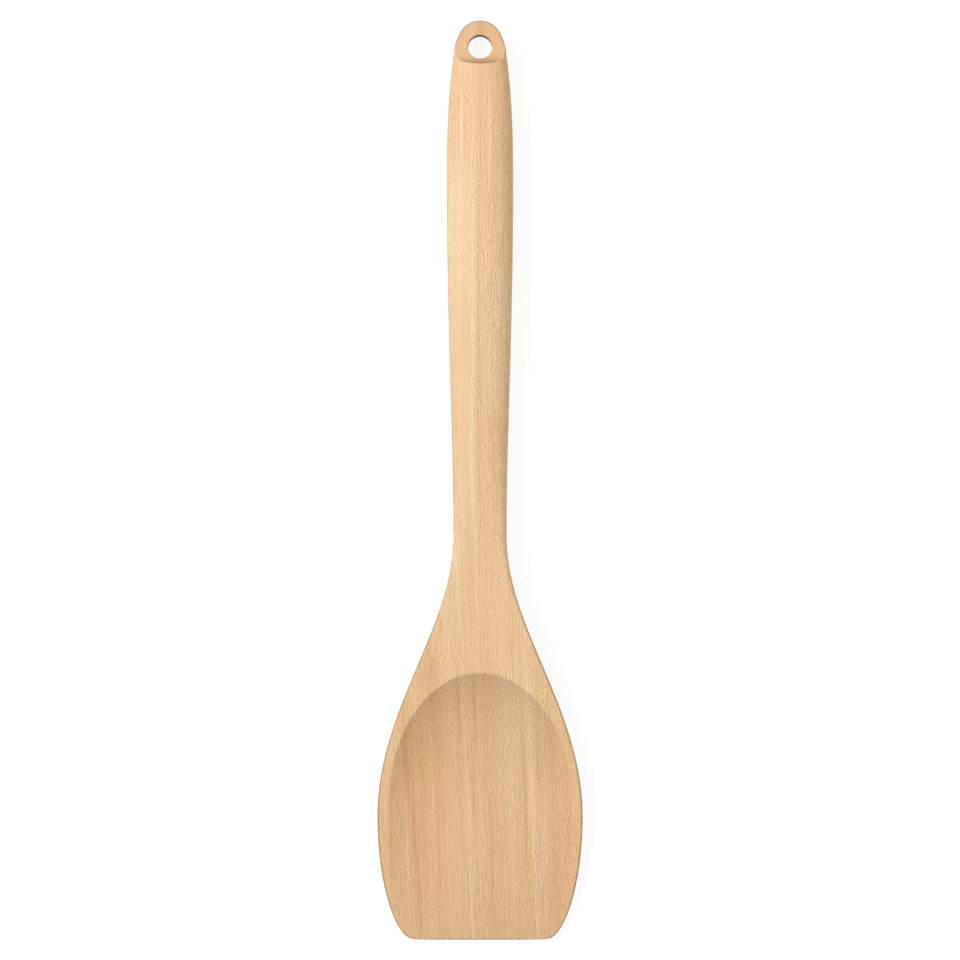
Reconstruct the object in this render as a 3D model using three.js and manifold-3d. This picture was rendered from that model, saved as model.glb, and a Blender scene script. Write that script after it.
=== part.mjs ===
import * as THREE from 'three';
import { mergeVertices } from 'three/addons/utils/BufferGeometryUtils.js';
import Module from 'manifold-3d';

// A wooden spatula carved from one plank of beech, lying on its back.
// Millimetres. X runs across, Y from the scraping tip to the hanging end, Z out of the front face.
// "Along" is the distance from the tip.

// Lengths along the spatula
const tipToWidest = 41.6;
const widestToNeck = 95;
const neckToGrip = 117.4;
const gripToEnd = 56;
const tipToShoulder = 80; // the blade's front is a straight wedge this far

// Widths of the outline
const tipWidth = 44; // the straight scraping edge, between its rounded corners
const bladeWidth = 69.2;
const neckWidth = 17.9;
const gripWidth = 22.4;
const endWidth = 14.4; // the oval handle, if it ran on to the end

// How far each bend of the outline holds its direction before it turns
const tipCornerReach = 6.9;
const widestReachToTip = 21.9;
const widestReachToNeck = 36.9;
const neckReachToBlade = 31.4;
const neckReachToGrip = 31.6;
const gripReachToNeck = 46.4;
const gripReachToEnd = 20;
const endReach = 21.5;
const endTaper = 0.17; // the handle's side closes in this much per millimetre at the end

// Thickness, and how far the back is lifted off the table
const tipThickness = 2.6; // before the scoop is cut
const shoulderThickness = 10.8;
const neckThickness = 12;
const gripThickness = 15;
const endThickness = 12.6;
const neckLift = 1.2;
const endLift = 1.2;

// The flat blade turns into the oval handle over these distances on either side of the neck
const ovalBlendToBlade = 32;
const ovalBlendToGrip = 36;
const handleFlat = 1.2; // narrow flats left on the oval
const frontEdgeRound = 0.8;
const backRoundWidth = 12; // the blade's back is rounded up to its side
const tipBackRoundWidth = 3;
const backRoundBlend = 30; // the round grows from the tip over this length
const tipSideBand = 1; // straight band left between the blade's front edge and the round of its back
const shoulderSideBand = 4.2;

// Scoop in the front of the blade
const rimWidth = 3.9; // flat rim beside the scoop where the blade is widest
const scoopCentrePastWidest = 4.5;
const scoopArchLength = 44.3;
const scoopDepth = 5;
const scoopTipDepth = 0.4;
const scoopFade = 62; // the scoop runs out to the tip over this length
const scoopWallPower = 3.8; // a flat floor with walls that steepen to the lip

// Hanging end
const archRadius = 7.6;
const archSplay = THREE.MathUtils.degToRad(23); // its sides lean out to meet the oval
const holeDiameter = 8.1;
const holeToEnd = 4.95; // wood left between the hole and the end
const holeToShoulder = 1.8;
const facetAboveMiddle = 1.7;
const facetSweep = 8.5; // radius of the hollow between the facet and its shoulder

// Mesh steps
const stationStep = 3.4;
const tipSteps = 6;
const cornerSteps = 7;
const railSteps = 60;
const archSteps = 24;
const holeSteps = 48;
const sweepSteps = 12;
const scoopArchSteps = 36;
const scoopSideSteps = 14;
const scoopRings = 11;
const scoopOverlap = 0.14; // the cutter's wall runs on past the lip by this share of its width
const overrun = 4; // cutters reach past the wood by this much
const mergeDistance = 1e-4;

const beechColor = 0xe3bd92;
const sandedRoughness = 0.62;

const widestAlong = tipToWidest;
const neckAlong = widestAlong + widestToNeck;
const gripAlong = neckAlong + neckToGrip;
const length = gripAlong + gripToEnd;

const wasm = await Module();
wasm.setup();

// One bend of a smooth curve: where it is, and the pulls that shape the curve on either side
function bend(along, value, before, after) {
  return { point: new THREE.Vector2(along, value), before, after };
}

function pull(along, value = 0) {
  return new THREE.Vector2(along, value);
}

// A measure that changes smoothly along the spatula, through a few bends
function rail(bends) {
  const points = [];
  for (let i = 1; i < bends.length; i += 1) {
    const from = bends[i - 1];
    const to = bends[i];
    const span = new THREE.CubicBezierCurve(
      from.point,
      from.point.clone().add(from.after),
      to.point.clone().add(to.before),
      to.point,
    );
    points.push(...span.getPoints(railSteps));
  }
  return (along) => measureAt(points, along);
}

function measureAt(points, along) {
  const next = points.findIndex((point) => point.x > along);
  if (next === -1) {
    return points.at(-1).y;
  }
  if (next === 0) {
    return points[0].y;
  }
  const low = points[next - 1];
  const high = points[next];
  return THREE.MathUtils.mapLinear(along, low.x, high.x, low.y, high.y);
}

// A bend whose pulls reach a third of the way to its neighbours
function softBend(along, value, slope, lengthBefore, lengthAfter) {
  const before = -lengthBefore / 3;
  const after = lengthAfter / 3;
  return bend(along, value, pull(before, before * slope), pull(after, after * slope));
}

const halfWidthAt = rail([
  bend(0, tipWidth / 2, null, pull(0, tipCornerReach)),
  bend(widestAlong, bladeWidth / 2, pull(-widestReachToTip), pull(widestReachToNeck)),
  bend(neckAlong, neckWidth / 2, pull(-neckReachToBlade), pull(neckReachToGrip)),
  bend(gripAlong, gripWidth / 2, pull(-gripReachToNeck), pull(gripReachToEnd)),
  bend(length, endWidth / 2, pull(-endReach, endReach * endTaper), null),
]);

const shoulderToNeck = neckAlong - tipToShoulder;
const wedgeSlope = (shoulderThickness - tipThickness) / tipToShoulder;

const backAt = rail([
  softBend(0, 0, 0, 0, tipToShoulder),
  softBend(tipToShoulder, 0, 0, tipToShoulder, shoulderToNeck),
  softBend(neckAlong, neckLift, 0, shoulderToNeck, neckToGrip),
  softBend(gripAlong, 0, 0, neckToGrip, gripToEnd),
  softBend(length, endLift, endLift / gripToEnd, gripToEnd, 0),
]);

const frontAt = rail([
  softBend(0, tipThickness, wedgeSlope, 0, tipToShoulder),
  softBend(tipToShoulder, shoulderThickness, wedgeSlope, tipToShoulder, shoulderToNeck),
  softBend(neckAlong, neckLift + neckThickness, 0, shoulderToNeck, neckToGrip),
  softBend(gripAlong, gripThickness, 0, neckToGrip, gripToEnd),
  softBend(length, endLift + endThickness, 0, gripToEnd, 0),
]);

// 0 in the flat blade, 1 in the oval handle
function ovalAt(along) {
  return THREE.MathUtils.smoothstep(along, neckAlong - ovalBlendToBlade, neckAlong + ovalBlendToGrip);
}

// Width and height of the round on the blade's back, which leaves a straight band on the side
function bladeBackRound(along, thickness) {
  const growth = THREE.MathUtils.smoothstep(along, 0, backRoundBlend);
  const toShoulder = THREE.MathUtils.clamp(along / tipToShoulder, 0, 1);
  const band = THREE.MathUtils.lerp(tipSideBand, shoulderSideBand, toShoulder);
  const room = thickness - frontEdgeRound;
  return new THREE.Vector2(
    THREE.MathUtils.lerp(tipBackRoundWidth, backRoundWidth, growth),
    Math.max(room - band, room / 2),
  );
}

// One cross-section: a closed ring of four elliptical corners
function sectionAt(along) {
  const half = halfWidthAt(along);
  const back = backAt(along);
  const front = frontAt(along);
  const oval = ovalAt(along);
  const ovalRound = new THREE.Vector2(half, (front - back) / 2).subScalar(handleFlat / 2);
  const frontRound = new THREE.Vector2(frontEdgeRound, frontEdgeRound).lerp(ovalRound, oval);
  const backRound = bladeBackRound(along, front - back).lerp(ovalRound, oval);
  backRound.x = Math.min(backRound.x, ovalRound.x);
  return [
    ...corner(along, half, front, frontRound, 0),
    ...corner(along, half, front, frontRound, 1),
    ...corner(along, half, back, backRound, 2),
    ...corner(along, half, back, backRound, 3),
  ];
}

// A quarter ellipse of the ring, counted anticlockwise from the front right
function corner(along, half, height, round, quarter) {
  const right = quarter === 0 || quarter === 3 ? 1 : -1;
  const up = quarter < 2 ? 1 : -1;
  const points = [];
  for (let i = 0; i <= cornerSteps; i += 1) {
    const angle = (quarter + i / cornerSteps) * Math.PI / 2;
    points.push(new THREE.Vector3(
      right * (half - round.x) + round.x * Math.cos(angle),
      along,
      height - up * round.y + round.y * Math.sin(angle),
    ));
  }
  return points;
}

// Stations crowd towards the tip, where the corners turn
function stations() {
  const list = [];
  for (let i = 0; i < tipSteps; i += 1) {
    list.push(stationStep * (i / tipSteps) ** 2);
  }
  const count = Math.ceil((length - stationStep) / stationStep);
  for (let i = 0; i <= count; i += 1) {
    list.push(THREE.MathUtils.lerp(stationStep, length, i / count));
  }
  list.push(length + overrun);
  return list;
}

// A skin over equal rings, each counted the same way round, closed at both ends
function loft(rings) {
  const size = rings[0].length;
  const points = rings.flat();
  const triangles = [];
  for (let r = 1; r < rings.length; r += 1) {
    for (let i = 0; i < size; i += 1) {
      const next = (i + 1) % size;
      const low = (r - 1) * size;
      const high = r * size;
      triangles.push(low + i, high + i, high + next, low + i, high + next, low + next);
    }
  }
  const last = points.length - size;
  for (const [a, b, c] of ringCap(size)) {
    triangles.push(a, b, c, last + a, last + c, last + b);
  }
  const geometry = new THREE.BufferGeometry().setFromPoints(points);
  geometry.setIndex(triangles);
  return solidFrom(geometry);
}

// Triangles across a ring, from its first half to its second
function ringCap(size) {
  const triangles = [];
  for (let i = 0; i + 1 < size - 1 - i; i += 1) {
    triangles.push([i, i + 1, size - 1 - i]);
    if (i + 1 < size - 2 - i) {
      triangles.push([i + 1, size - 2 - i, size - 1 - i]);
    }
  }
  return triangles;
}

function solidFrom(geometry) {
  geometry.deleteAttribute('normal');
  geometry.deleteAttribute('uv');
  const merged = mergeVertices(geometry, mergeDistance);
  return new wasm.Manifold(new wasm.Mesh({
    numProp: 3,
    vertProperties: merged.attributes.position.array,
    triVerts: Uint32Array.from(merged.index.array),
  }));
}

const scoopHalfWidth = bladeWidth / 2 - rimWidth;
const scoopCentre = widestAlong + scoopCentrePastWidest;

// Depth of the scoop's floor under the rim, where the share is 0 on its centre line and 1 at its lip
function scoopSurface(along, share) {
  const fade = THREE.MathUtils.smoothstep(along, 0, scoopFade);
  const depth = THREE.MathUtils.lerp(scoopTipDepth, scoopDepth, fade);
  return frontAt(along) - depth * (1 - share ** scoopWallPower);
}

// One line round the scoop at a share of its width: up one side, round the arch, down the other
function scoopLine(share) {
  const across = share * scoopHalfWidth;
  const line = [];
  for (let i = 0; i < scoopSideSteps; i += 1) {
    line.push([-across, THREE.MathUtils.lerp(-overrun, scoopCentre, i / scoopSideSteps)]);
  }
  for (let i = 0; i <= scoopArchSteps; i += 1) {
    const angle = Math.PI * i / scoopArchSteps;
    line.push([-across * Math.cos(angle), scoopCentre + share * scoopArchLength * Math.sin(angle)]);
  }
  for (let i = scoopSideSteps - 1; i >= 0; i -= 1) {
    line.push([across, THREE.MathUtils.lerp(-overrun, scoopCentre, i / scoopSideSteps)]);
  }
  return line.map(([x, along]) => new THREE.Vector3(x, along, scoopSurface(along, share)));
}

// The wood that the scoop takes away, up to a level lid above the handle
function scoopCutter() {
  const lines = [];
  for (let i = 1; i <= scoopRings; i += 1) {
    lines.push(scoopLine((1 + scoopOverlap) * Math.sqrt(i / scoopRings)));
  }
  const lid = gripThickness + overrun;
  lines.push(lines.at(-1).map((point) => new THREE.Vector3(point.x, point.y, lid)));
  return loft(lines);
}

// A flat shape raised from below the table to above the handle
function upright(shape, curveSegments) {
  const geometry = new THREE.ExtrudeGeometry(shape, {
    depth: gripThickness + 2 * overrun,
    bevelEnabled: false,
    curveSegments,
  });
  geometry.translate(0, 0, -overrun);
  return solidFrom(geometry);
}

// The outline that the hanging end is sawn to, open wide around the blade
function archShape() {
  const halfWide = bladeWidth / 2 + overrun;
  const centre = length - archRadius;
  const joinAcross = archRadius * Math.cos(archSplay);
  const joinAlong = centre + archRadius * Math.sin(archSplay);
  const wideAlong = joinAlong - (halfWide - joinAcross) / Math.tan(archSplay);
  const shape = new THREE.Shape();
  shape.moveTo(-halfWide, -overrun);
  shape.lineTo(halfWide, -overrun);
  shape.lineTo(halfWide, wideAlong);
  shape.absarc(0, centre, archRadius, archSplay, Math.PI - archSplay, false);
  shape.lineTo(-halfWide, wideAlong);
  shape.closePath();
  return shape;
}

function holeCutter() {
  const tall = gripThickness + 2 * overrun;
  const geometry = new THREE.CylinderGeometry(holeDiameter / 2, holeDiameter / 2, tall, holeSteps);
  geometry.rotateX(Math.PI / 2);
  geometry.translate(0, length - holeToEnd - holeDiameter / 2, gripThickness / 2);
  return solidFrom(geometry);
}

// The facet milled into the front of the hanging end, which sweeps up in a hollow to its shoulder
function facetCutter() {
  const shoulder = length - holeToEnd - holeDiameter - holeToShoulder;
  const front = frontAt(shoulder);
  const floor = (front + backAt(shoulder)) / 2 + facetAboveMiddle;
  const centreOverFront = Math.max(floor + facetSweep - front, 0);
  const centre = new THREE.Vector2(
    shoulder + Math.sqrt(facetSweep ** 2 - centreOverFront ** 2),
    floor + facetSweep,
  );
  const lid = gripThickness + facetSweep + overrun;
  const shape = new THREE.Shape();
  shape.moveTo(length + overrun, floor);
  shape.lineTo(length + overrun, lid);
  shape.lineTo(centre.x - facetSweep, lid);
  shape.absarc(centre.x, centre.y, facetSweep, Math.PI, 1.5 * Math.PI, false);
  shape.closePath();
  const wide = gripWidth + 2 * overrun;
  const geometry = new THREE.ExtrudeGeometry(shape, {
    depth: wide,
    bevelEnabled: false,
    curveSegments: sweepSteps,
  });
  // Shape axes are along and up, and the depth runs across
  const basis = new THREE.Matrix4().makeBasis(
    new THREE.Vector3(0, 1, 0),
    new THREE.Vector3(0, 0, 1),
    new THREE.Vector3(1, 0, 0),
  );
  geometry.applyMatrix4(basis);
  geometry.translate(-wide / 2, 0, 0);
  return solidFrom(geometry);
}

function carveBody() {
  return loft(stations().map(sectionAt))
    .intersect(upright(archShape(), archSteps))
    .subtract(facetCutter())
    .subtract(holeCutter())
    .subtract(scoopCutter());
}

function meshFrom(carved, name) {
  const { vertProperties, triVerts } = carved.getMesh();
  const geometry = new THREE.BufferGeometry();
  geometry.setAttribute('position', new THREE.BufferAttribute(vertProperties, 3));
  geometry.setIndex(new THREE.BufferAttribute(triVerts, 1));
  geometry.computeVertexNormals();
  const beech = new THREE.MeshStandardMaterial({
    color: beechColor,
    roughness: sandedRoughness,
    metalness: 0,
  });
  const mesh = new THREE.Mesh(geometry, beech);
  mesh.name = name;
  return mesh;
}

const body = meshFrom(carveBody(), 'spatula_body');
body.position.y = -length / 2;

const spatula = new THREE.Group();
spatula.add(body);

export default spatula;
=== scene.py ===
import math
import bpy
import numpy as np
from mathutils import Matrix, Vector


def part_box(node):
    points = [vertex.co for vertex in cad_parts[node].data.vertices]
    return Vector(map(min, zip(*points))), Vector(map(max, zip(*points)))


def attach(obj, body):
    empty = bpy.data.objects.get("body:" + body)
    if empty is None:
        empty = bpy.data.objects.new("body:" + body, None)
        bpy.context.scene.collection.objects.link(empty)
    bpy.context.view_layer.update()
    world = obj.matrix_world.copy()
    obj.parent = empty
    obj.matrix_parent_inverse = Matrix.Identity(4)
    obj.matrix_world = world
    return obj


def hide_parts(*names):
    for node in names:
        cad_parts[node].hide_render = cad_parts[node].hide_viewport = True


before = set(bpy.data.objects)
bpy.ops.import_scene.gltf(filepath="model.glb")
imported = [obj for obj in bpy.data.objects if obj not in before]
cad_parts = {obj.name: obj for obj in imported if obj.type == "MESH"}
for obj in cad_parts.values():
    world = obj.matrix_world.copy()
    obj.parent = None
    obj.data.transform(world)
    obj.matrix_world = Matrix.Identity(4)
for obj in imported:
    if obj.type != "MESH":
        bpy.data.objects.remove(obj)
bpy.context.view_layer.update()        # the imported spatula: metres, on its back, tip towards -Y
mm = 0.001
print("frame loaded:", sorted(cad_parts))


def hexColor(text):      # sRGB hex to the linear colour that the shaders take
    values = [int(text[i:i + 2], 16) / 255 for i in (1, 3, 5)]
    linear = [v / 12.92 if v <= 0.04045 else ((v + 0.055) / 1.055) ** 2.4 for v in values]
    return (*linear, 1.0)


def addNode(tree, kind, sockets=None, **settings):
    node = tree.nodes.new(kind)
    for name, value in settings.items():
        setattr(node, name, value)
    for name, value in (sockets or {}).items():
        if isinstance(value, bpy.types.NodeSocket):
            tree.links.new(value, node.inputs[name])
        else:
            node.inputs[name].default_value = value
    return node


def newMaterial(name):
    material = bpy.data.materials.new(name)
    material.use_nodes = True
    material.node_tree.nodes.clear()
    return material


# The body is one carved piece of beech. All sizes in mm.
# "Along" is the distance from the scraping tip, and heights are over the table.
bodySize = [(high - low) / mm for low, high in zip(*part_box("spatula_body"))]
carvedBody = {
    "node": "spatula_body",
    "length": bodySize[1], "bladeWidth": bodySize[0], "gripThickness": bodySize[2],
    "widest": 41.6, "shoulder": 80.0, "neck": 136.6, "grip": 254.0,     # places along it
    "tipWidth": 44.0, "neckWidth": 17.9, "gripWidth": 22.4, "endWidth": 14.4,
    "tipCorner": 6.9,                 # sideways reach of the tip's rounded corners
    "widestReach": (21.9, 36.9),      # how far each bend holds its direction, before and after
    "neckReach": (31.4, 31.6),
    "gripReach": (46.4, 20.0),
    "endReach": 21.5, "endTaper": 0.17,
    "tipThickness": 2.6, "shoulderThickness": 10.8, "neckThickness": 12.0, "endThickness": 12.6,
    "neckLift": 1.2, "endLift": 1.2,       # how far the back rises there
    "ovalFrom": 104.6, "ovalTo": 172.6,    # the flat blade turns into the oval handle here
    "handleFlat": 1.2,                # narrow flats left on the oval
    "frontEdge": 0.8,                 # round of the blade's front edges
    "backRound": (3.0, 12.0), "backRoundGrows": 30.0,     # its back's round, at the tip and past this length
    "sideBand": (1.0, 4.2),           # straight side between the two, at the tip and the shoulder
    "scoopHalf": 30.7, "scoopCentre": 46.1, "scoopArch": 44.3,
    "scoopDepth": (0.4, 5.0), "scoopGrows": 62.0,         # depth at the tip and past this length
    "scoopWall": 3.8,                 # power that keeps the floor flat and steepens the wall
    "archRadius": 7.6, "archSplay": math.radians(23),     # arch that the hanging end is sawn to
    "holeRadius": 4.05, "holeAlong": 301.0,
    "facetFrom": 295.15, "facetAboveMiddle": 1.7, "facetSweep": 8.5,
    "tipEase": 0.9, "lipEase": 0.15, "facetEase": 0.35, "holeEase": 0.3,     # sanded arrises
    "gridAcross": 0.5, "gridUp": 0.45, "gridBlade": 0.5, "gridHandle": 1.2, "gridEnd": 0.4,
    "margin": 1.3,                    # the grid runs past the wood by this much
    "crease": 0.02,                   # least spread of the directions in a cell that makes a crease
    "upright": 0.5,                   # how closely each triangle faces the way that the skin does
    "cutShows": 0.2,                  # wood this far under the blank's skin was cut by a tool
    "sawnFrom": (0.15, 0.7),          # how steep the blade's edges are where the painted shade darkens them
    "sawnBack": (-0.5, 0.0),          # how far they turn under
    "sawnEnds": (98.0, 130.0),        # where along it they fade out
}


def bend(along, value, before=(0, 0), after=(0, 0)):
    return np.array([(along, value), before, after], float)


def rail(bends, steps=240):       # a measure that changes smoothly along the piece, as a curve of points
    t = np.linspace(0, 1, steps, endpoint=False)[:, None]
    runs = []
    for here, there in zip(bends, bends[1:]):
        a, b, c, d = here[0], here[0] + here[2], there[0] + there[1], there[0]
        runs.append((1 - t) ** 3 * a + 3 * (1 - t) ** 2 * t * b + 3 * (1 - t) * t ** 2 * c + t ** 3 * d)
    runs.append(bends[-1][:1])
    return np.vstack(runs).T


def softRail(points):             # a rail through (along, value, slope), each bend a third of its span long
    bends = []
    for i, (along, value, slope) in enumerate(points):
        before = (along - points[max(i - 1, 0)][0]) / 3
        after = (points[min(i + 1, len(points) - 1)][0] - along) / 3
        bends.append(bend(along, value, (-before, -before * slope), (after, after * slope)))
    return rail(bends)


def smoothStep(value, low, high):
    share = np.clip((value - low) / (high - low), 0, 1)
    return share * share * (3 - 2 * share)


def mixed(a, b, share):
    return a + (b - a) * share


def easedCut(wood, cut, ease):    # wood left after a cut, with the edge between them sanded round
    near = np.maximum(ease - np.abs(wood - cut), 0) / ease
    return np.maximum(wood, cut) + near * near * ease / 4


def bodyRails(body):
    widest, neck, grip = body["widestReach"], body["neckReach"], body["gripReach"]
    outline = rail([
        bend(0, body["tipWidth"] / 2, after=(0, body["tipCorner"])),
        bend(body["widest"], body["bladeWidth"] / 2, (-widest[0], 0), (widest[1], 0)),
        bend(body["neck"], body["neckWidth"] / 2, (-neck[0], 0), (neck[1], 0)),
        bend(body["grip"], body["gripWidth"] / 2, (-grip[0], 0), (grip[1], 0)),
        bend(body["length"], body["endWidth"] / 2, (-body["endReach"], body["endReach"] * body["endTaper"])),
    ])
    wedge = (body["shoulderThickness"] - body["tipThickness"]) / body["shoulder"]
    endSlope = body["endLift"] / (body["length"] - body["grip"])
    back = softRail([
        (0, 0, 0), (body["shoulder"], 0, 0), (body["neck"], body["neckLift"], 0),
        (body["grip"], 0, 0), (body["length"], body["endLift"], endSlope),
    ])
    front = softRail([
        (0, body["tipThickness"], wedge), (body["shoulder"], body["shoulderThickness"], wedge),
        (body["neck"], body["neckLift"] + body["neckThickness"], 0),
        (body["grip"], body["gripThickness"], 0),
        (body["length"], body["endLift"] + body["endThickness"], 0),
    ])
    flank = 1 / np.hypot(1, np.gradient(outline[1], outline[0]))     # how squarely the side faces sideways
    return {"outline": outline, "flank": (outline[0], flank), "back": back, "front": front}


# The fields are below zero inside the wood, and about a distance in mm near its skin.
def archField(body, x, along):    # the arch that the hanging end is sawn to
    lean, lift = math.cos(body["archSplay"]), math.sin(body["archSplay"])
    up = along - body["length"] + body["archRadius"]
    arch = np.where(up * lean > np.abs(x) * lift, np.hypot(x, up), np.abs(x) * lean + up * lift)
    return arch - body["archRadius"]


def blankField(body, rails, x, along, z):     # the blank, before anything is cut into it
    half, flank = (np.interp(along, *rails[name]) for name in ("outline", "flank"))
    back, front = (np.interp(along, *rails[name]) for name in ("back", "front"))
    thick = front - back
    oval = smoothStep(along, body["ovalFrom"], body["ovalTo"])

    # rounds of the section: crisp front edges and a soft back on the blade, a full oval on the handle
    ovalWide, ovalTall = half - body["handleFlat"] / 2, (thick - body["handleFlat"]) / 2
    room = thick - body["frontEdge"]
    band = mixed(*body["sideBand"], np.clip(along / body["shoulder"], 0, 1))
    backWide = mixed(*body["backRound"], smoothStep(along, 0, body["backRoundGrows"]))
    backWide = np.minimum(mixed(backWide, ovalWide, oval), ovalWide)
    backTall = mixed(np.maximum(room - band, room / 2), ovalTall, oval)
    frontWide = mixed(body["frontEdge"], ovalWide, oval)
    frontTall = mixed(body["frontEdge"], ovalTall, oval)

    side = (np.abs(x) - half) * flank
    overFront = z - front + frontTall
    overBack = back + backTall - z
    atFront = overFront > overBack
    wide = np.where(atFront, frontWide, backWide)
    tall = np.where(atFront, frontTall, backTall)
    over = np.where(atFront, overFront, overBack)
    into = side + wide
    ring = np.hypot(into / wide, over / tall)
    steep = np.hypot(into / wide ** 2, over / tall ** 2) + 1e-9      # never 0
    wood = np.where((into > 0) & (over > 0), (ring - 1) * ring / steep, np.maximum(side, over - tall))
    wood = easedCut(wood, -along, body["tipEase"])
    return easedCut(wood, archField(body, x, along), body["facetEase"])


def woodField(body, rails, x, along, z):      # the blank with the scoop, the hanging facet and the hole cut
    wood = blankField(body, rails, x, along, z)
    front = np.interp(along, *rails["front"])

    # scoop: flat floor, walls that steepen to the lip, open at the tip
    past = np.maximum(along - body["scoopCentre"], 0) / body["scoopArch"]
    share = np.hypot(x / body["scoopHalf"], past)
    depth = mixed(*body["scoopDepth"], smoothStep(along, 0, body["scoopGrows"]))
    rise = depth * body["scoopWall"] * share ** (body["scoopWall"] - 1) / body["scoopHalf"]
    floor = front - depth * (1 - share ** body["scoopWall"])
    wood = easedCut(wood, (z - floor) / np.hypot(1, rise), body["lipEase"])

    # hanging facet that sweeps up in a hollow to its shoulder, and the drilled hole
    shoulderFront = np.interp(body["facetFrom"], *rails["front"])
    shoulderBack = np.interp(body["facetFrom"], *rails["back"])
    facet = (shoulderFront + shoulderBack) / 2 + body["facetAboveMiddle"]
    sweep = body["facetSweep"]
    run = math.sqrt(sweep ** 2 - max(facet + sweep - shoulderFront, 0) ** 2)
    toShoulder = body["facetFrom"] + run - along
    toFacet = facet + sweep - z
    outside = np.hypot(np.maximum(toShoulder, 0), np.maximum(toFacet, 0))
    outside = outside + np.minimum(np.maximum(toShoulder, toFacet), 0) - sweep
    wood = easedCut(wood, -outside, body["facetEase"])
    hole = body["holeRadius"] - np.hypot(x, along - body["holeAlong"])
    return easedCut(wood, hole, body["holeEase"])


def unit(vectors):
    return vectors / np.linalg.norm(vectors, axis=1)[:, None]


def fieldSlope(field, points, step=0.02):
    slope = np.zeros_like(points)
    for axis in range(3):
        nudge = step * np.eye(3)[axis]
        slope[:, axis] = (field(*(points + nudge).T) - field(*(points - nudge).T)) / (2 * step)
    return slope


def crossings(field, axes, values, axis, halvings=12):     # where grid edges along one axis meet the skin
    step = np.eye(3, dtype=int)[axis]
    low = values[tuple(slice(0, n - s) for n, s in zip(values.shape, step))]
    high = values[tuple(slice(s, n) for n, s in zip(values.shape, step))]
    spots = np.argwhere((low < 0) != (high < 0))
    inside = low[tuple(spots.T)] < 0
    start = np.stack([axes[i][spots[:, i]] for i in range(3)], 1)
    span = (axes[axis][spots[:, axis] + 1] - axes[axis][spots[:, axis]])[:, None] * step
    near, far = np.zeros(len(spots)), np.ones(len(spots))
    for _ in range(halvings):     # halve the stretch that holds the skin
        middle = (near + far) / 2
        same = (field(*(start + span * middle[:, None]).T) < 0) == inside
        near, far = np.where(same, middle, near), np.where(same, far, middle)
    return spots, inside, start + span * near[:, None]


def skinNet(field, axes, crease):     # a face over each grid edge that meets the skin, a corner in each cell
    values = field(*np.meshgrid(*axes, indexing="ij", sparse=True))
    points, normals, cells = [], [], []
    for axis in range(3):
        spots, inside, point = crossings(field, axes, values, axis)
        first, second = np.roll(np.eye(3, dtype=int), -axis - 1, 0)[:2]
        ring = np.array([0 * first, -first, -first - second, -second])
        around = spots[:, None, :] + ring
        around[~inside] = around[~inside][:, ::-1]
        points.append(np.repeat(point, 4, 0))
        normals.append(np.repeat(unit(fieldSlope(field, point)), 4, 0))
        cells.append(np.ravel_multi_index(tuple(around.reshape(-1, 3).T), values.shape))
    points, normals = np.vstack(points), np.vstack(normals)
    used, corners = np.unique(np.concatenate(cells), return_inverse=True)
    counts = np.bincount(corners)

    def average(measure):
        return np.bincount(corners, measure) / counts

    # each corner moves from the middle of its crossings to where their planes meet, inside its cell
    centre = np.stack([average(points[:, i]) for i in range(3)], 1)
    above = ((points - centre[corners]) * normals).sum(1)
    pull = np.stack([average(above * normals[:, i]) for i in range(3)], 1)
    facing = np.array([[average(normals[:, i] * normals[:, j]) for i in range(3)] for j in range(3)])
    share, turn = np.linalg.eigh(facing.transpose(2, 0, 1))
    firm = np.where(share > crease, 1 / np.maximum(share, crease), 0)
    move = np.einsum("nij,nj,nkj,nk->ni", turn, firm, turn, pull)
    spot = np.unravel_index(used, values.shape)
    lowest = np.stack([axes[i][spot[i]] for i in range(3)], 1)
    highest = np.stack([axes[i][spot[i] + 1] for i in range(3)], 1)
    return np.clip(centre + move, lowest, highest), corners.reshape(-1, 4)


def settle(field, points, furthest, rounds=4):     # draws the points onto the skin
    for _ in range(rounds):
        slope = fieldSlope(field, points)
        step = slope * (field(*points.T) / (slope ** 2).sum(1))[:, None]
        points = points - np.clip(step, -furthest, furthest)
    return points


def splitFaces(field, verts, quads, upright):
    # two triangles for each face, along the diagonal that lies closer to the skin and turns neither over
    splits = [quads[:, corners] for corners in ([0, 1, 2, 0, 2, 3], [1, 2, 3, 1, 3, 0])]
    costs = []
    for i, split in enumerate(splits):
        middle = (verts[quads[:, i]] + verts[quads[:, i + 2]]) / 2
        a, b, c = (verts[split.reshape(-1, 3)[:, corner]] for corner in range(3))
        facing = (unit(np.cross(b - a, c - a)) * unit(fieldSlope(field, (a + b + c) / 3))).sum(1)
        turned = np.maximum(upright - facing.reshape(-1, 2).min(1), 0)
        costs.append(np.abs(field(*middle.T)) + turned)
    return np.where((costs[0] <= costs[1])[:, None], *splits).reshape(-1, 3)


def carveSkin(body, field):
    edge = body["margin"]
    wide = body["bladeWidth"] / 2 + edge
    across = np.arange(-wide, wide + body["gridAcross"], body["gridAcross"])
    along = np.concatenate([
        np.arange(-edge, body["ovalFrom"], body["gridBlade"]),
        np.arange(body["ovalFrom"], body["facetFrom"] - edge, body["gridHandle"]),
        np.arange(body["facetFrom"] - edge, body["length"] + edge, body["gridEnd"]),
    ])
    up = np.arange(-edge, body["gripThickness"] + edge, body["gridUp"])
    verts, quads = skinNet(field, (across, along, up), body["crease"])
    verts = settle(field, verts, body["gridUp"])
    return verts, splitFaces(field, verts, quads, body["upright"])


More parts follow.
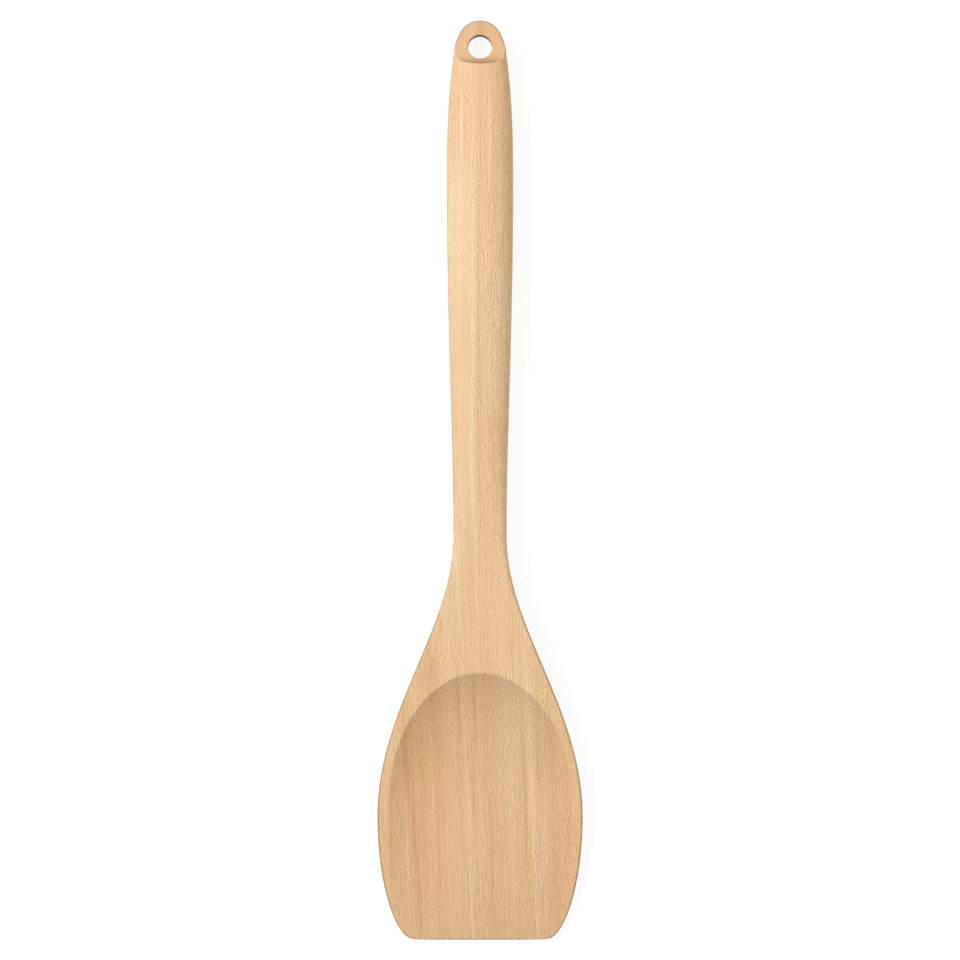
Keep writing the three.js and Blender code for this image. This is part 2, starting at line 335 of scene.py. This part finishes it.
def cutAndShadeMarks(body, rails, verts, normals):   # shares of milled face and of painted shade on the blade's steep edges, and mm to the hanging end's rim
    milled = np.clip(-blankField(body, rails, *verts.T) / body["cutShows"], 0, 1)
    flat = 1 - smoothStep(verts[:, 1], *body["sawnEnds"])
    steep = smoothStep(np.hypot(normals[:, 0], normals[:, 1]), *body["sawnFrom"])
    # painted shade on the blade's steep edges, strongest where the side stands upright; it fades out towards
    # the handle, on the cut faces and where the side turns under
    sawn = steep * flat * (1 - milled) * smoothStep(normals[:, 2], *body["sawnBack"])
    return {"milled": milled, "sawn": sawn, "rim": archField(body, verts[:, 0], verts[:, 1])}


def carveBody(body):
    rails = bodyRails(body)

    def field(x, along, z):
        return woodField(body, rails, x, along, z)

    verts, faces = carveSkin(body, field)
    normals = unit(fieldSlope(field, verts))
    marks = cutAndShadeMarks(body, rails, verts, normals)
    verts[:, 1] -= body["length"] / 2
    mesh = bpy.data.meshes.new("carved_beech_body")
    mesh.from_pydata((verts * mm).tolist(), [], faces.tolist())
    mesh.polygons.foreach_set("use_smooth", [True] * len(faces))
    mesh.normals_split_custom_set_from_vertices(normals.tolist())
    for name, values in marks.items():
        mesh.attributes.new(name, "FLOAT", "POINT").data.foreach_set("value", values)
    piece = bpy.data.objects.new("carved_beech_body", mesh)
    bpy.context.scene.collection.objects.link(piece)
    print("body carved:", len(verts), "points", len(faces), "faces")
    return piece


# Beech, planed along the grain and sanded, no varnish. To the eye it is pale straw to honey, with soft
# stripes that run the whole length and fine short dark dashes where the rays end, and the sanding leaves
# it matt. The scoop and the hanging facet are drawn a shade deeper. Painted shade darkens the blade's steep
# edges and the hanging end's rim, end grain is deeper still and its tint also paints the shade at the foot
# of the facet's shoulder, and painted shade darkens the hole's wall.
# Sizes are in mm across the board, along the grain and through the board.
sandedBeech = {
    "straw": ("#CEA072", "#E2BE94", "#EDD4AE"),     # late wood, plain wood, early wood
    "honey": ("#CE9C6A", "#E2B88A", "#EDCEA2"),     # the same where the board turns warmer
    "honeyAlong": (-72.0, -28.0),                   # between these the blade's share of honey
    "honeyShare": (0.6, 0.1),                       # turns into the handle's
    "honeyDrift": 1.2,                              # how far the share drifts with the figure
    "oliveTint": "#FAFFEC",
    "fleckColor": "#A67A50",
    # end grain is darker; the same tint also paints the shade at the foot of the hanging facet's shoulder
    "endGrainAndShadeColor": "#9C7247", "endGrainAndShadeFrom": 0.58, "endGrainAndShadeShare": 0.85,
    # the first tint draws the scoop and the hanging facet a shade darker; the second is painted shade on the
    # blade's steep edges and on the hanging end's rim
    "milledTint": "#F5F1F0", "sawnTint": "#CAC5C0",
    "rimWidth": (-0.55, -0.2),                      # painted shade on the hanging end's sawn rim, inside its edge
    # painted shade on the hole's wall, across this band round its edge in mm
    "holeShadeColor": "#703A0C", "holeShadeEdge": (-0.1, 0.1),
    "lean": 0.0375, "leanFrom": 10.0,               # below here the grain drifts to the right
    "wander": {"size": (20, 50, 20), "reach": 0.8},
    "figures": {                                    # noise cells of each figure
        "hue": (9, 120, 30),
        "board": (13, 240, 40),
        "bands": (6, 200, 30),
        "broad": (3.0, 160, 25),
        "stripes": (1.4, 130, 20),
        "patches": (5, 26, 12),
    },
    "apart": (11.7, 8.19, 15.21),                   # cells between two figures, so that none line up
    "shares": {"board": 0.25, "bands": 0.28, "broad": 0.18, "stripes": 0.15},     # of each in the tone
    # real fibres are about 0.02 mm wide, too fine to show, so they are drawn nearly a pixel wide
    "fibres": {
        "lines": {"size": (0.28, 14, 0.9), "share": 0.38},
        "threads": {"size": (0.28, 4.5, 0.7), "share": 0.30},
        "dashes": {"size": (0.3, 1.2, 0.5), "share": 0.48},
    },
    "fibreGap": 0.4,                                # a pale fibre lies this far beside each dark one
    "flecks": {
        "size": (0.45, 1.8, 0.9), "core": 0.12, "edge": 0.45, "strength": 0.38,
        "patchFrom": (0.3, 0.6), "patchLeast": 0.35,     # fewer of them between the patches
    },
    "specular": 0.25,
    "roughness": (0.56, 0.68), "roughFrom": (-0.2, 0.3),     # from the pale fibres to the dark ones
    "bumpHeight": 0.02, "bumpStrength": 0.6,
}

# Places on the piece, each a long lens on the grain: its middle across, its two ends along
# from the middle of the length, and its half width, then how much paler it is, or darker below 0, and
# how much more it has of honey, of fibres and of olive.
boardPlaces = {
    "bladeStretches": [
        {"across": 8.0, "along": (-130, -45), "half": 12.0, "pale": 0.20, "honey": -0.6},
        {"across": -35.5, "along": (-175, -65), "half": 7.0, "pale": -0.12, "honey": -0.3, "olive": 0.3},
        {"across": -20.0, "along": (-84, -44), "half": 6.0, "pale": -0.18, "honey": 0.8},
        # an olive cast over the scoop's left wall, which faces away from the key lamp: painted shade colour
        {"across": -21.5, "along": (-112, -62), "half": 9.0, "pale": -0.02, "honey": 0.1, "olive": 0.6},
        {"across": -24.0, "along": (-165, -62), "half": 4.0, "pale": -0.10, "honey": 0.2},
        {"across": -16.5, "along": (-132, -58), "half": 4.0, "pale": -0.06},
        {"across": -13.0, "along": (-160, -50), "half": 5.0, "pale": -0.09},
        {"across": 9.0, "along": (-78, -36), "half": 4.5, "pale": -0.10},
        {"across": 10.5, "along": (-118, -74), "half": 3.0, "honey": 0.6, "olive": 0.3},
        {"across": 16.6, "along": (-185, -62), "half": 6.0, "pale": 0.06, "honey": -0.5},
        {"across": 24.0, "along": (-175, -80), "half": 5.0, "honey": 0.4},
    ],
    "bladeFibres": [
        {"across": -17.0, "along": (-170, -60), "half": 8.0, "fibres": -0.35},
        {"across": -2.0, "along": (-180, -45), "half": 8.0, "fibres": 0.40},
        {"across": 16.0, "along": (-180, -60), "half": 5.0, "fibres": 0.35},
    ],
    "bladeStreaks": [
        {"across": -29.6, "along": (-144, -108), "half": 0.55, "pale": 0.32, "honey": -0.4},
        {"across": -29.0, "along": (-118, -74), "half": 1.6, "pale": -0.26},
        {"across": -27.2, "along": (-142, -92), "half": 1.5, "pale": -0.24},
        {"across": -26.0, "along": (-172, -112), "half": 1.1, "pale": -0.22},
        {"across": -20.2, "along": (-140, -76), "half": 1.0, "pale": 0.18},
        {"across": -15.7, "along": (-54, -44), "half": 1.2, "pale": -0.26},
        {"across": -10.6, "along": (-94, -60), "half": 0.9, "pale": -0.26},
        {"across": -8.7, "along": (-170, -12), "half": 2.2, "pale": 0.17, "honey": -0.3},
        {"across": -8.4, "along": (-215, -90), "half": 0.8, "pale": 0.22, "honey": -0.3},
        {"across": -6.3, "along": (-135, -80), "half": 0.9, "pale": -0.16},
        {"across": -5.2, "along": (-98, -58), "half": 1.0, "pale": -0.34},
        {"across": -4.6, "along": (-78, -58), "half": 1.6, "pale": -0.12},
        {"across": -1.0, "along": (-178, -84), "half": 1.8, "pale": -0.15},
        {"across": 6.2, "along": (-165, -78), "half": 1.9, "pale": 0.16},
        {"across": 9.6, "along": (-82, -46), "half": 0.55, "pale": 0.34, "honey": -0.4},
        {"across": 10.8, "along": (-150, -62), "half": 1.1, "pale": -0.28},
        {"across": 13.2, "along": (-165, -25), "half": 1.9, "pale": 0.15, "honey": -0.3},
        {"across": 13.4, "along": (-215, -84), "half": 0.8, "pale": 0.26, "honey": -0.3},
        {"across": 15.6, "along": (-118, -78), "half": 1.0, "pale": -0.20},
        {"across": 20.8, "along": (-175, -84), "half": 2.6, "pale": -0.07},
    ],
    "neck": [
        {"across": -11.7, "along": (-46, -16), "half": 1.8, "pale": -0.20},
        {"across": -9.4, "along": (-62, 0), "half": 2.2, "pale": 0.14, "honey": -0.4},
        {"across": -5.0, "along": (-74, 6), "half": 3.2, "pale": -0.10, "honey": 0.5, "olive": 0.3},
        {"across": -2.8, "along": (-58, 62), "half": 1.3, "pale": 0.26, "honey": -0.3},
        {"across": 0.0, "along": (-76, -24), "half": 14.0, "fibres": -0.15},
        {"across": 2.5, "along": (-78, -18), "half": 4.0, "pale": 0.08, "honey": -0.4},
        {"across": 5.0, "along": (-18, 36), "half": 4.0, "honey": 0.9, "olive": 0.2},
        {"across": 8.6, "along": (-16, 34), "half": 3.0, "pale": 0.08},
    ],
    "handle": [
        {"across": -10.5, "along": (35, 128), "half": 2.8, "pale": 0.22, "honey": -0.7},
        {"across": -9.5, "along": (62, 122), "half": 2.6, "pale": 0.08},
        {"across": -6.6, "along": (20, 150), "half": 1.0, "pale": 0.13},
        {"across": -6.5, "along": (-100, 200), "half": 5.5, "fibres": -0.75},
        {"across": -6.4, "along": (30, 125), "half": 4.2, "pale": 0.10, "honey": 0.1},
        {"across": -6.2, "along": (92, 146), "half": 0.45, "pale": 0.55, "honey": -0.3},
        {"across": -6.0, "along": (20, 50), "half": 3.5, "pale": 0.08},
        {"across": -5.5, "along": (-30, 90), "half": 4.0, "pale": -0.06, "honey": 0.6},
        {"across": -3.5, "along": (4, 52), "half": 7.0, "pale": 0.08},
        {"across": -2.5, "along": (22, 134), "half": 2.1, "pale": 0.22, "honey": -0.1},
        {"across": -2.0, "along": (20, 85), "half": 1.6, "pale": 0.15},
        {"across": -1.5, "along": (30, 130), "half": 7.0, "pale": 0.14, "honey": 0.6},
        {"across": -0.5, "along": (-40, 122), "half": 0.8, "pale": -0.16, "honey": 0.2},
        {"across": 3.2, "along": (92, 140), "half": 0.45, "pale": 0.55, "honey": -0.3},
        {"across": 4.5, "along": (-30, 146), "half": 7.0, "pale": 0.14, "honey": 0.1, "fibres": 0.25},
        # paler on the handle's right flank, where the fill lamp lights it: painted light
        {"across": 9.5, "along": (10, 105), "half": 2.5, "pale": 0.16},
    ],
    "hangingEnd": [
        {"across": -7.0, "along": (95, 150), "half": 5.0, "pale": -0.06, "honey": 0.5},
        {"across": 0.0, "along": (128, 172), "half": 12.0, "honey": 0.3, "fibres": -0.8},
        {"across": 0.2, "along": (136, 172), "half": 3.0, "pale": -0.12, "olive": 0.4},
    ],
}


def readPlace(tree):      # where a point lies on the piece, in mm, and which way it faces
    coords = addNode(tree, "ShaderNodeTexCoord")
    inMm = addNode(tree, "ShaderNodeVectorMath", {
        0: coords.outputs["Object"], "Scale": 1 / mm,
    }, operation="SCALE")
    axis = addNode(tree, "ShaderNodeSeparateXYZ", {0: inMm.outputs[0]})
    facing = addNode(tree, "ShaderNodeSeparateXYZ", {0: coords.outputs["Normal"]})
    return {
        "point": inMm.outputs[0],
        "across": axis.outputs["X"], "along": axis.outputs["Y"], "up": axis.outputs["Z"],
        "endwise": facing.outputs["Y"],
    }


def layGrain(tree, wood, place):      # the point on the grain, which leans below the neck and wanders
    wander = wood["wander"]
    cells = addNode(tree, "ShaderNodeVectorMath", {
        0: place["point"], 1: [1 / cell for cell in wander["size"]],
    }, operation="MULTIPLY")
    noise = addNode(tree, "ShaderNodeTexNoise", {
        "Vector": cells.outputs[0], "Scale": 1.0, "Detail": 0.0,
    })
    bent = addNode(tree, "ShaderNodeMath", {
        0: place["along"], 1: wood["leanFrom"],
    }, operation="MINIMUM")
    leant = addNode(tree, "ShaderNodeMath", {
        0: bent.outputs[0], 1: wood["lean"], 2: place["across"],
    }, operation="MULTIPLY_ADD")
    drift = addNode(tree, "ShaderNodeMath", {
        0: noise.outputs["Fac"], 1: wander["reach"], 2: leant.outputs[0],
    }, operation="MULTIPLY_ADD")
    level = wander["reach"] / 2 + wood["lean"] * wood["leanFrom"]
    across = addNode(tree, "ShaderNodeMath", {0: drift.outputs[0], 1: level}, operation="SUBTRACT")
    grain = addNode(tree, "ShaderNodeCombineXYZ", {
        "X": across.outputs[0], "Y": place["along"], "Z": place["up"],
    })
    return grain.outputs[0]


def drawFigures(tree, wood, grain):   # soft noises stretched along the grain
    figures = {}
    for i, (name, size) in enumerate(wood["figures"].items()):
        cells = addNode(tree, "ShaderNodeVectorMath", {
            0: grain, 1: [1 / cell for cell in size], 2: [(i + 1) * step for step in wood["apart"]],
        }, operation="MULTIPLY_ADD")
        noise = addNode(tree, "ShaderNodeTexNoise", {
            "Vector": cells.outputs[0], "Scale": 1.0, "Detail": 0.0,
        })
        figures[name] = noise.outputs["Fac"]
    return figures


def startLook(tree, wood, place, figures):    # tone and shares of the plain board, before its places
    tone = 0.5 - sum(wood["shares"].values()) / 2
    for name, share in wood["shares"].items():
        tone = addNode(tree, "ShaderNodeMath", {
            0: figures[name], 1: share, 2: tone,
        }, operation="MULTIPLY_ADD").outputs[0]
    bladeHoney, handleHoney = (share - wood["honeyDrift"] / 2 for share in wood["honeyShare"])
    warmth = addNode(tree, "ShaderNodeMapRange", {
        "Value": place["along"], "From Min": wood["honeyAlong"][0], "From Max": wood["honeyAlong"][1],
        "To Min": bladeHoney, "To Max": handleHoney,
    }, interpolation_type="SMOOTHSTEP")
    honey = addNode(tree, "ShaderNodeMath", {
        0: figures["hue"], 1: wood["honeyDrift"], 2: warmth.outputs[0],
    }, operation="MULTIPLY_ADD")
    return {"pale": tone, "honey": honey.outputs[0], "fibres": 1.0, "olive": 0.0}


def addPlace(tree, look, grain, spot):        # changes the look inside one long lens
    half, (low, high) = spot["half"], spot["along"]
    reach = (high - low) / 2
    lens = addNode(tree, "ShaderNodeVectorMath", {
        0: grain, 1: (1 / half, 1 / reach, 0), 2: (-spot["across"] / half, -(low + high) / 2 / reach, 0),
    }, operation="MULTIPLY_ADD")
    away = addNode(tree, "ShaderNodeVectorMath", {0: lens.outputs[0]}, operation="LENGTH")
    near = addNode(tree, "ShaderNodeMapRange", {
        "Value": away.outputs["Value"], "To Min": 1.0, "To Max": 0.0,
    }, interpolation_type="SMOOTHSTEP")
    for name in look:
        if name in spot:
            look[name] = addNode(tree, "ShaderNodeMath", {
                0: near.outputs[0], 1: spot[name], 2: look[name],
            }, operation="MULTIPLY_ADD").outputs[0]


def mixBoard(tree, wood, look):       # straw to honey by tone, with a touch of olive
    ramps = []
    for stops in (wood["straw"], wood["honey"]):
        ramp = addNode(tree, "ShaderNodeValToRGB", {"Fac": look["pale"]})
        ramp.color_ramp.elements.new(0.5)
        for element, color in zip(ramp.color_ramp.elements, stops):
            element.color = hexColor(color)
        ramps.append(ramp.outputs["Color"])
    color = addNode(tree, "ShaderNodeMix", {
        0: look["honey"], 6: ramps[0], 7: ramps[1],
    }, data_type="RGBA").outputs[2]
    return addNode(tree, "ShaderNodeMix", {
        0: look["olive"], 6: color, 7: hexColor(wood["oliveTint"]),
    }, data_type="RGBA", blend_type="MULTIPLY").outputs[2]


def drawFibres(tree, wood, grain, figures, look):
    # ray flecks: short dark dashes, thicker in some patches than in others
    flecks = wood["flecks"]
    cells = addNode(tree, "ShaderNodeVectorMath", {
        0: grain, 1: [1 / cell for cell in flecks["size"]],
    }, operation="MULTIPLY")
    dashes = addNode(tree, "ShaderNodeTexVoronoi", {"Vector": cells.outputs[0], "Scale": 1.0})
    dash = addNode(tree, "ShaderNodeMapRange", {
        "Value": dashes.outputs["Distance"], "From Min": flecks["core"], "From Max": flecks["edge"],
        "To Min": flecks["strength"], "To Max": 0.0,
    }, interpolation_type="SMOOTHSTEP")
    patch = addNode(tree, "ShaderNodeMapRange", {
        "Value": figures["patches"],
        "From Min": flecks["patchFrom"][0], "From Max": flecks["patchFrom"][1],
        "To Min": flecks["patchLeast"], "To Max": 1.0,
    })
    fibre = addNode(tree, "ShaderNodeMath", {
        0: dash.outputs[0], 1: patch.outputs[0],
    }, operation="MULTIPLY").outputs[0]

    # fibres that the sanding left: thin lines and dashes, dark and pale side by side
    for fine in wood["fibres"].values():
        for beside, sign in ((0, 1), (wood["fibreGap"], -1)):
            cells = addNode(tree, "ShaderNodeVectorMath", {
                0: grain, 1: [1 / cell for cell in fine["size"]], 2: (beside / fine["size"][0], 0, 0),
            }, operation="MULTIPLY_ADD")
            noise = addNode(tree, "ShaderNodeTexNoise", {
                "Vector": cells.outputs[0], "Scale": 1.0, "Detail": 0.0,
            })
            fibre = addNode(tree, "ShaderNodeMath", {
                0: noise.outputs["Fac"], 1: sign * fine["share"], 2: fibre,
            }, operation="MULTIPLY_ADD").outputs[0]
    return addNode(tree, "ShaderNodeMath", {0: fibre, 1: look["fibres"]}, operation="MULTIPLY").outputs[0]


def tintCutAndShadeMarks(tree, wood, color):         # the cut faces a shade darker, and painted shade on the blade's steep edges and the hanging end's rim
    marks = {}
    for name in ("milled", "sawn", "rim"):
        marks[name] = addNode(tree, "ShaderNodeAttribute", attribute_name=name).outputs["Fac"]
    rim = addNode(tree, "ShaderNodeMapRange", {
        "Value": marks["rim"], "From Min": wood["rimWidth"][0], "From Max": wood["rimWidth"][1],
    })
    tints = ((marks["milled"], "milledTint"), (marks["sawn"], "sawnTint"), (rim.outputs[0], "sawnTint"))
    for share, tint in tints:
        color = addNode(tree, "ShaderNodeMix", {
            0: share, 6: color, 7: hexColor(wood[tint]),
        }, data_type="RGBA", blend_type="MULTIPLY").outputs[2]
    return color


def darkenEndGrainAndShade(tree, wood, body, place, color):       # end grain, which also paints the shade at the foot of the facet's shoulder, and painted shade on the hole's wall
    # the end-grain tint rises where the surface faces along the piece; at the foot of the facet's shoulder
    # it is painted shade
    endwise = addNode(tree, "ShaderNodeMath", {0: place["endwise"]}, operation="ABSOLUTE")
    cut = addNode(tree, "ShaderNodeMapRange", {
        "Value": endwise.outputs[0], "From Min": wood["endGrainAndShadeFrom"], "From Max": 1.0,
        "To Min": 0.0, "To Max": wood["endGrainAndShadeShare"],
    }, interpolation_type="SMOOTHSTEP")
    color = addNode(tree, "ShaderNodeMix", {
        0: cut.outputs[0], 6: color, 7: hexColor(wood["endGrainAndShadeColor"]),
    }, data_type="RGBA").outputs[2]
    # painted shade on the hole's wall, in a band round its edge
    onPlan = addNode(tree, "ShaderNodeCombineXYZ", {"X": place["across"], "Y": place["along"]})
    toHole = addNode(tree, "ShaderNodeVectorMath", {
        0: onPlan.outputs[0], 1: (0, body["holeAlong"] - body["length"] / 2, 0),
    }, operation="DISTANCE")
    wallFrom, wallTo = (body["holeRadius"] + edge for edge in wood["holeShadeEdge"])
    holeShade = addNode(tree, "ShaderNodeMapRange", {
        "Value": toHole.outputs["Value"], "From Min": wallFrom, "From Max": wallTo,
        "To Min": 1.0, "To Max": 0.0,
    })
    return addNode(tree, "ShaderNodeMix", {
        0: holeShade.outputs[0], 6: color, 7: hexColor(wood["holeShadeColor"]),
    }, data_type="RGBA").outputs[2]


def makeSandedBeech(wood, places, body):
    material = newMaterial("beech_sanded")
    tree = material.node_tree
    place = readPlace(tree)
    grain = layGrain(tree, wood, place)
    figures = drawFigures(tree, wood, grain)
    look = startLook(tree, wood, place, figures)
    for stretch in places.values():
        for spot in stretch:
            addPlace(tree, look, grain, spot)
    fibre = drawFibres(tree, wood, grain, figures, look)
    color = addNode(tree, "ShaderNodeMix", {
        0: fibre, 6: mixBoard(tree, wood, look), 7: hexColor(wood["fleckColor"]),
    }, data_type="RGBA", clamp_factor=False).outputs[2]
    color = tintCutAndShadeMarks(tree, wood, color)
    color = darkenEndGrainAndShade(tree, wood, body, place, color)
    matt = addNode(tree, "ShaderNodeMapRange", {
        "Value": fibre, "From Min": wood["roughFrom"][0], "From Max": wood["roughFrom"][1],
        "To Min": wood["roughness"][0], "To Max": wood["roughness"][1],
    })
    bump = addNode(tree, "ShaderNodeBump", {
        "Height": fibre, "Strength": wood["bumpStrength"], "Distance": wood["bumpHeight"] * mm,
    }, invert=True)
    shader = addNode(tree, "ShaderNodeBsdfPrincipled", {
        "Base Color": color,
        "Roughness": matt.outputs[0],
        "Specular IOR Level": wood["specular"],
        "Normal": bump.outputs["Normal"],
    })
    addNode(tree, "ShaderNodeOutputMaterial", {"Surface": shader.outputs["BSDF"]})
    print("sanded beech mixed:", len(tree.nodes), "nodes")
    return material


body = carveBody(carvedBody)
body.data.materials.append(makeSandedBeech(sandedBeech, boardPlaces, carvedBody))
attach(body, "root")
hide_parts(carvedBody["node"])


# Plain pale paper, matt. The camera sees it as white, and it keeps the spatula's shadow.
studioFloor = {
    "size": 6.0,
    "drop": 0.0002,          # the back never lies in the paper's own plane
    "paper": "#727272",
    "roughness": 0.9, "specular": 0.1,
    "glow": 0.90,
    "background": "#FFFFFF",
    "ambient": 0.03,
}


def seenDirectly(tree):       # 1 for what the camera sees, also in a gloss or through glass
    path = addNode(tree, "ShaderNodeLightPath")
    seen = path.outputs["Is Camera Ray"]
    for ray in ("Is Glossy Ray", "Is Transmission Ray"):
        seen = addNode(tree, "ShaderNodeMath", {
            0: seen, 1: path.outputs[ray],
        }, operation="MAXIMUM").outputs[0]
    return seen


def makeFloor(floor):
    half = floor["size"] / 2
    mesh = bpy.data.meshes.new("paper_floor")
    corners = [(x * half, y * half, -floor["drop"]) for x, y in ((-1, -1), (1, -1), (1, 1), (-1, 1))]
    mesh.from_pydata(corners, [], [(0, 1, 2, 3)])
    piece = bpy.data.objects.new("paper_floor", mesh)
    bpy.context.scene.collection.objects.link(piece)
    material = newMaterial("paper_matt")
    tree = material.node_tree
    glow = addNode(tree, "ShaderNodeMath", {0: seenDirectly(tree), 1: floor["glow"]}, operation="MULTIPLY")
    shader = addNode(tree, "ShaderNodeBsdfPrincipled", {
        "Base Color": hexColor(floor["paper"]),
        "Roughness": floor["roughness"],
        "Specular IOR Level": floor["specular"],
        "Emission Color": hexColor(floor["background"]),
        "Emission Strength": glow.outputs[0],
    })
    addNode(tree, "ShaderNodeOutputMaterial", {"Surface": shader.outputs["BSDF"]})
    mesh.materials.append(material)


def makeWorld(floor):
    world = bpy.data.worlds.new("studio_white")
    bpy.context.scene.world = world
    world.use_nodes = True
    tree = world.node_tree
    tree.nodes.clear()
    strength = addNode(tree, "ShaderNodeMapRange", {
        "Value": seenDirectly(tree), "To Min": floor["ambient"], "To Max": 1.0,
    })
    shader = addNode(tree, "ShaderNodeBackground", {
        "Color": hexColor(floor["background"]), "Strength": strength.outputs[0],
    })
    addNode(tree, "ShaderNodeOutputWorld", {"Surface": shader.outputs["Background"]})


makeFloor(studioFloor)
makeWorld(studioFloor)
print("floor and backdrop made")


# Soft boxes round the table. Bearing, clockwise from the hanging end, and height are in degrees.
softBoxes = {
    "key": {
        "bearing": -63, "height": 45, "distance": 3.0, "size": 1.5, "power": 112.0, "color": "#FDFDFF",
    },
    "fill": {
        "bearing": 90, "height": 25, "distance": 3.0, "size": 1.5, "power": 55.5, "color": "#FFFFF8",
    },
}


def makeSoftBox(name, lamp):
    data = bpy.data.lights.new(name, "AREA")
    data.shape = "SQUARE"
    data.size = lamp["size"]
    data.energy = lamp["power"]
    data.color = hexColor(lamp["color"])[:3]
    bearing, height = math.radians(lamp["bearing"]), math.radians(lamp["height"])
    level = math.cos(height)
    towards = Vector((math.sin(bearing) * level, math.cos(bearing) * level, math.sin(height)))
    piece = bpy.data.objects.new(name, data)
    piece.location = towards * lamp["distance"]
    piece.rotation_euler = (-towards).to_track_quat("-Z", "Y").to_euler()
    bpy.context.scene.collection.objects.link(piece)


for name, lamp in softBoxes.items():
    makeSoftBox(name, lamp)
print("soft boxes hung:", len(softBoxes))


# The camera hangs straight over the middle of the spatula.
photoCamera = {
    "height": 1.85,          # over the plane where the outline lies
    "outlineHeight": 0.007,
    "towardsEnd": 0.0003,    # off the middle, so that both ends sit as in the photo
    "viewWidth": 0.3235,     # width of the picture at that plane
    "sensor": 36.0,
    "clip": (0.05, 20.0),
}


def hangCamera(camera):
    data = bpy.data.cameras.new("overhead_camera")
    data.sensor_width = camera["sensor"]
    data.lens = camera["sensor"] * camera["height"] / camera["viewWidth"]
    data.clip_start, data.clip_end = camera["clip"]
    piece = bpy.data.objects.new("overhead_camera", data)
    piece.location = (0, camera["towardsEnd"], camera["height"] + camera["outlineHeight"])
    bpy.context.scene.collection.objects.link(piece)
    bpy.context.scene.camera = piece


hangCamera(photoCamera)
bpy.context.scene.view_settings.view_transform = "Standard"
print("camera hung")
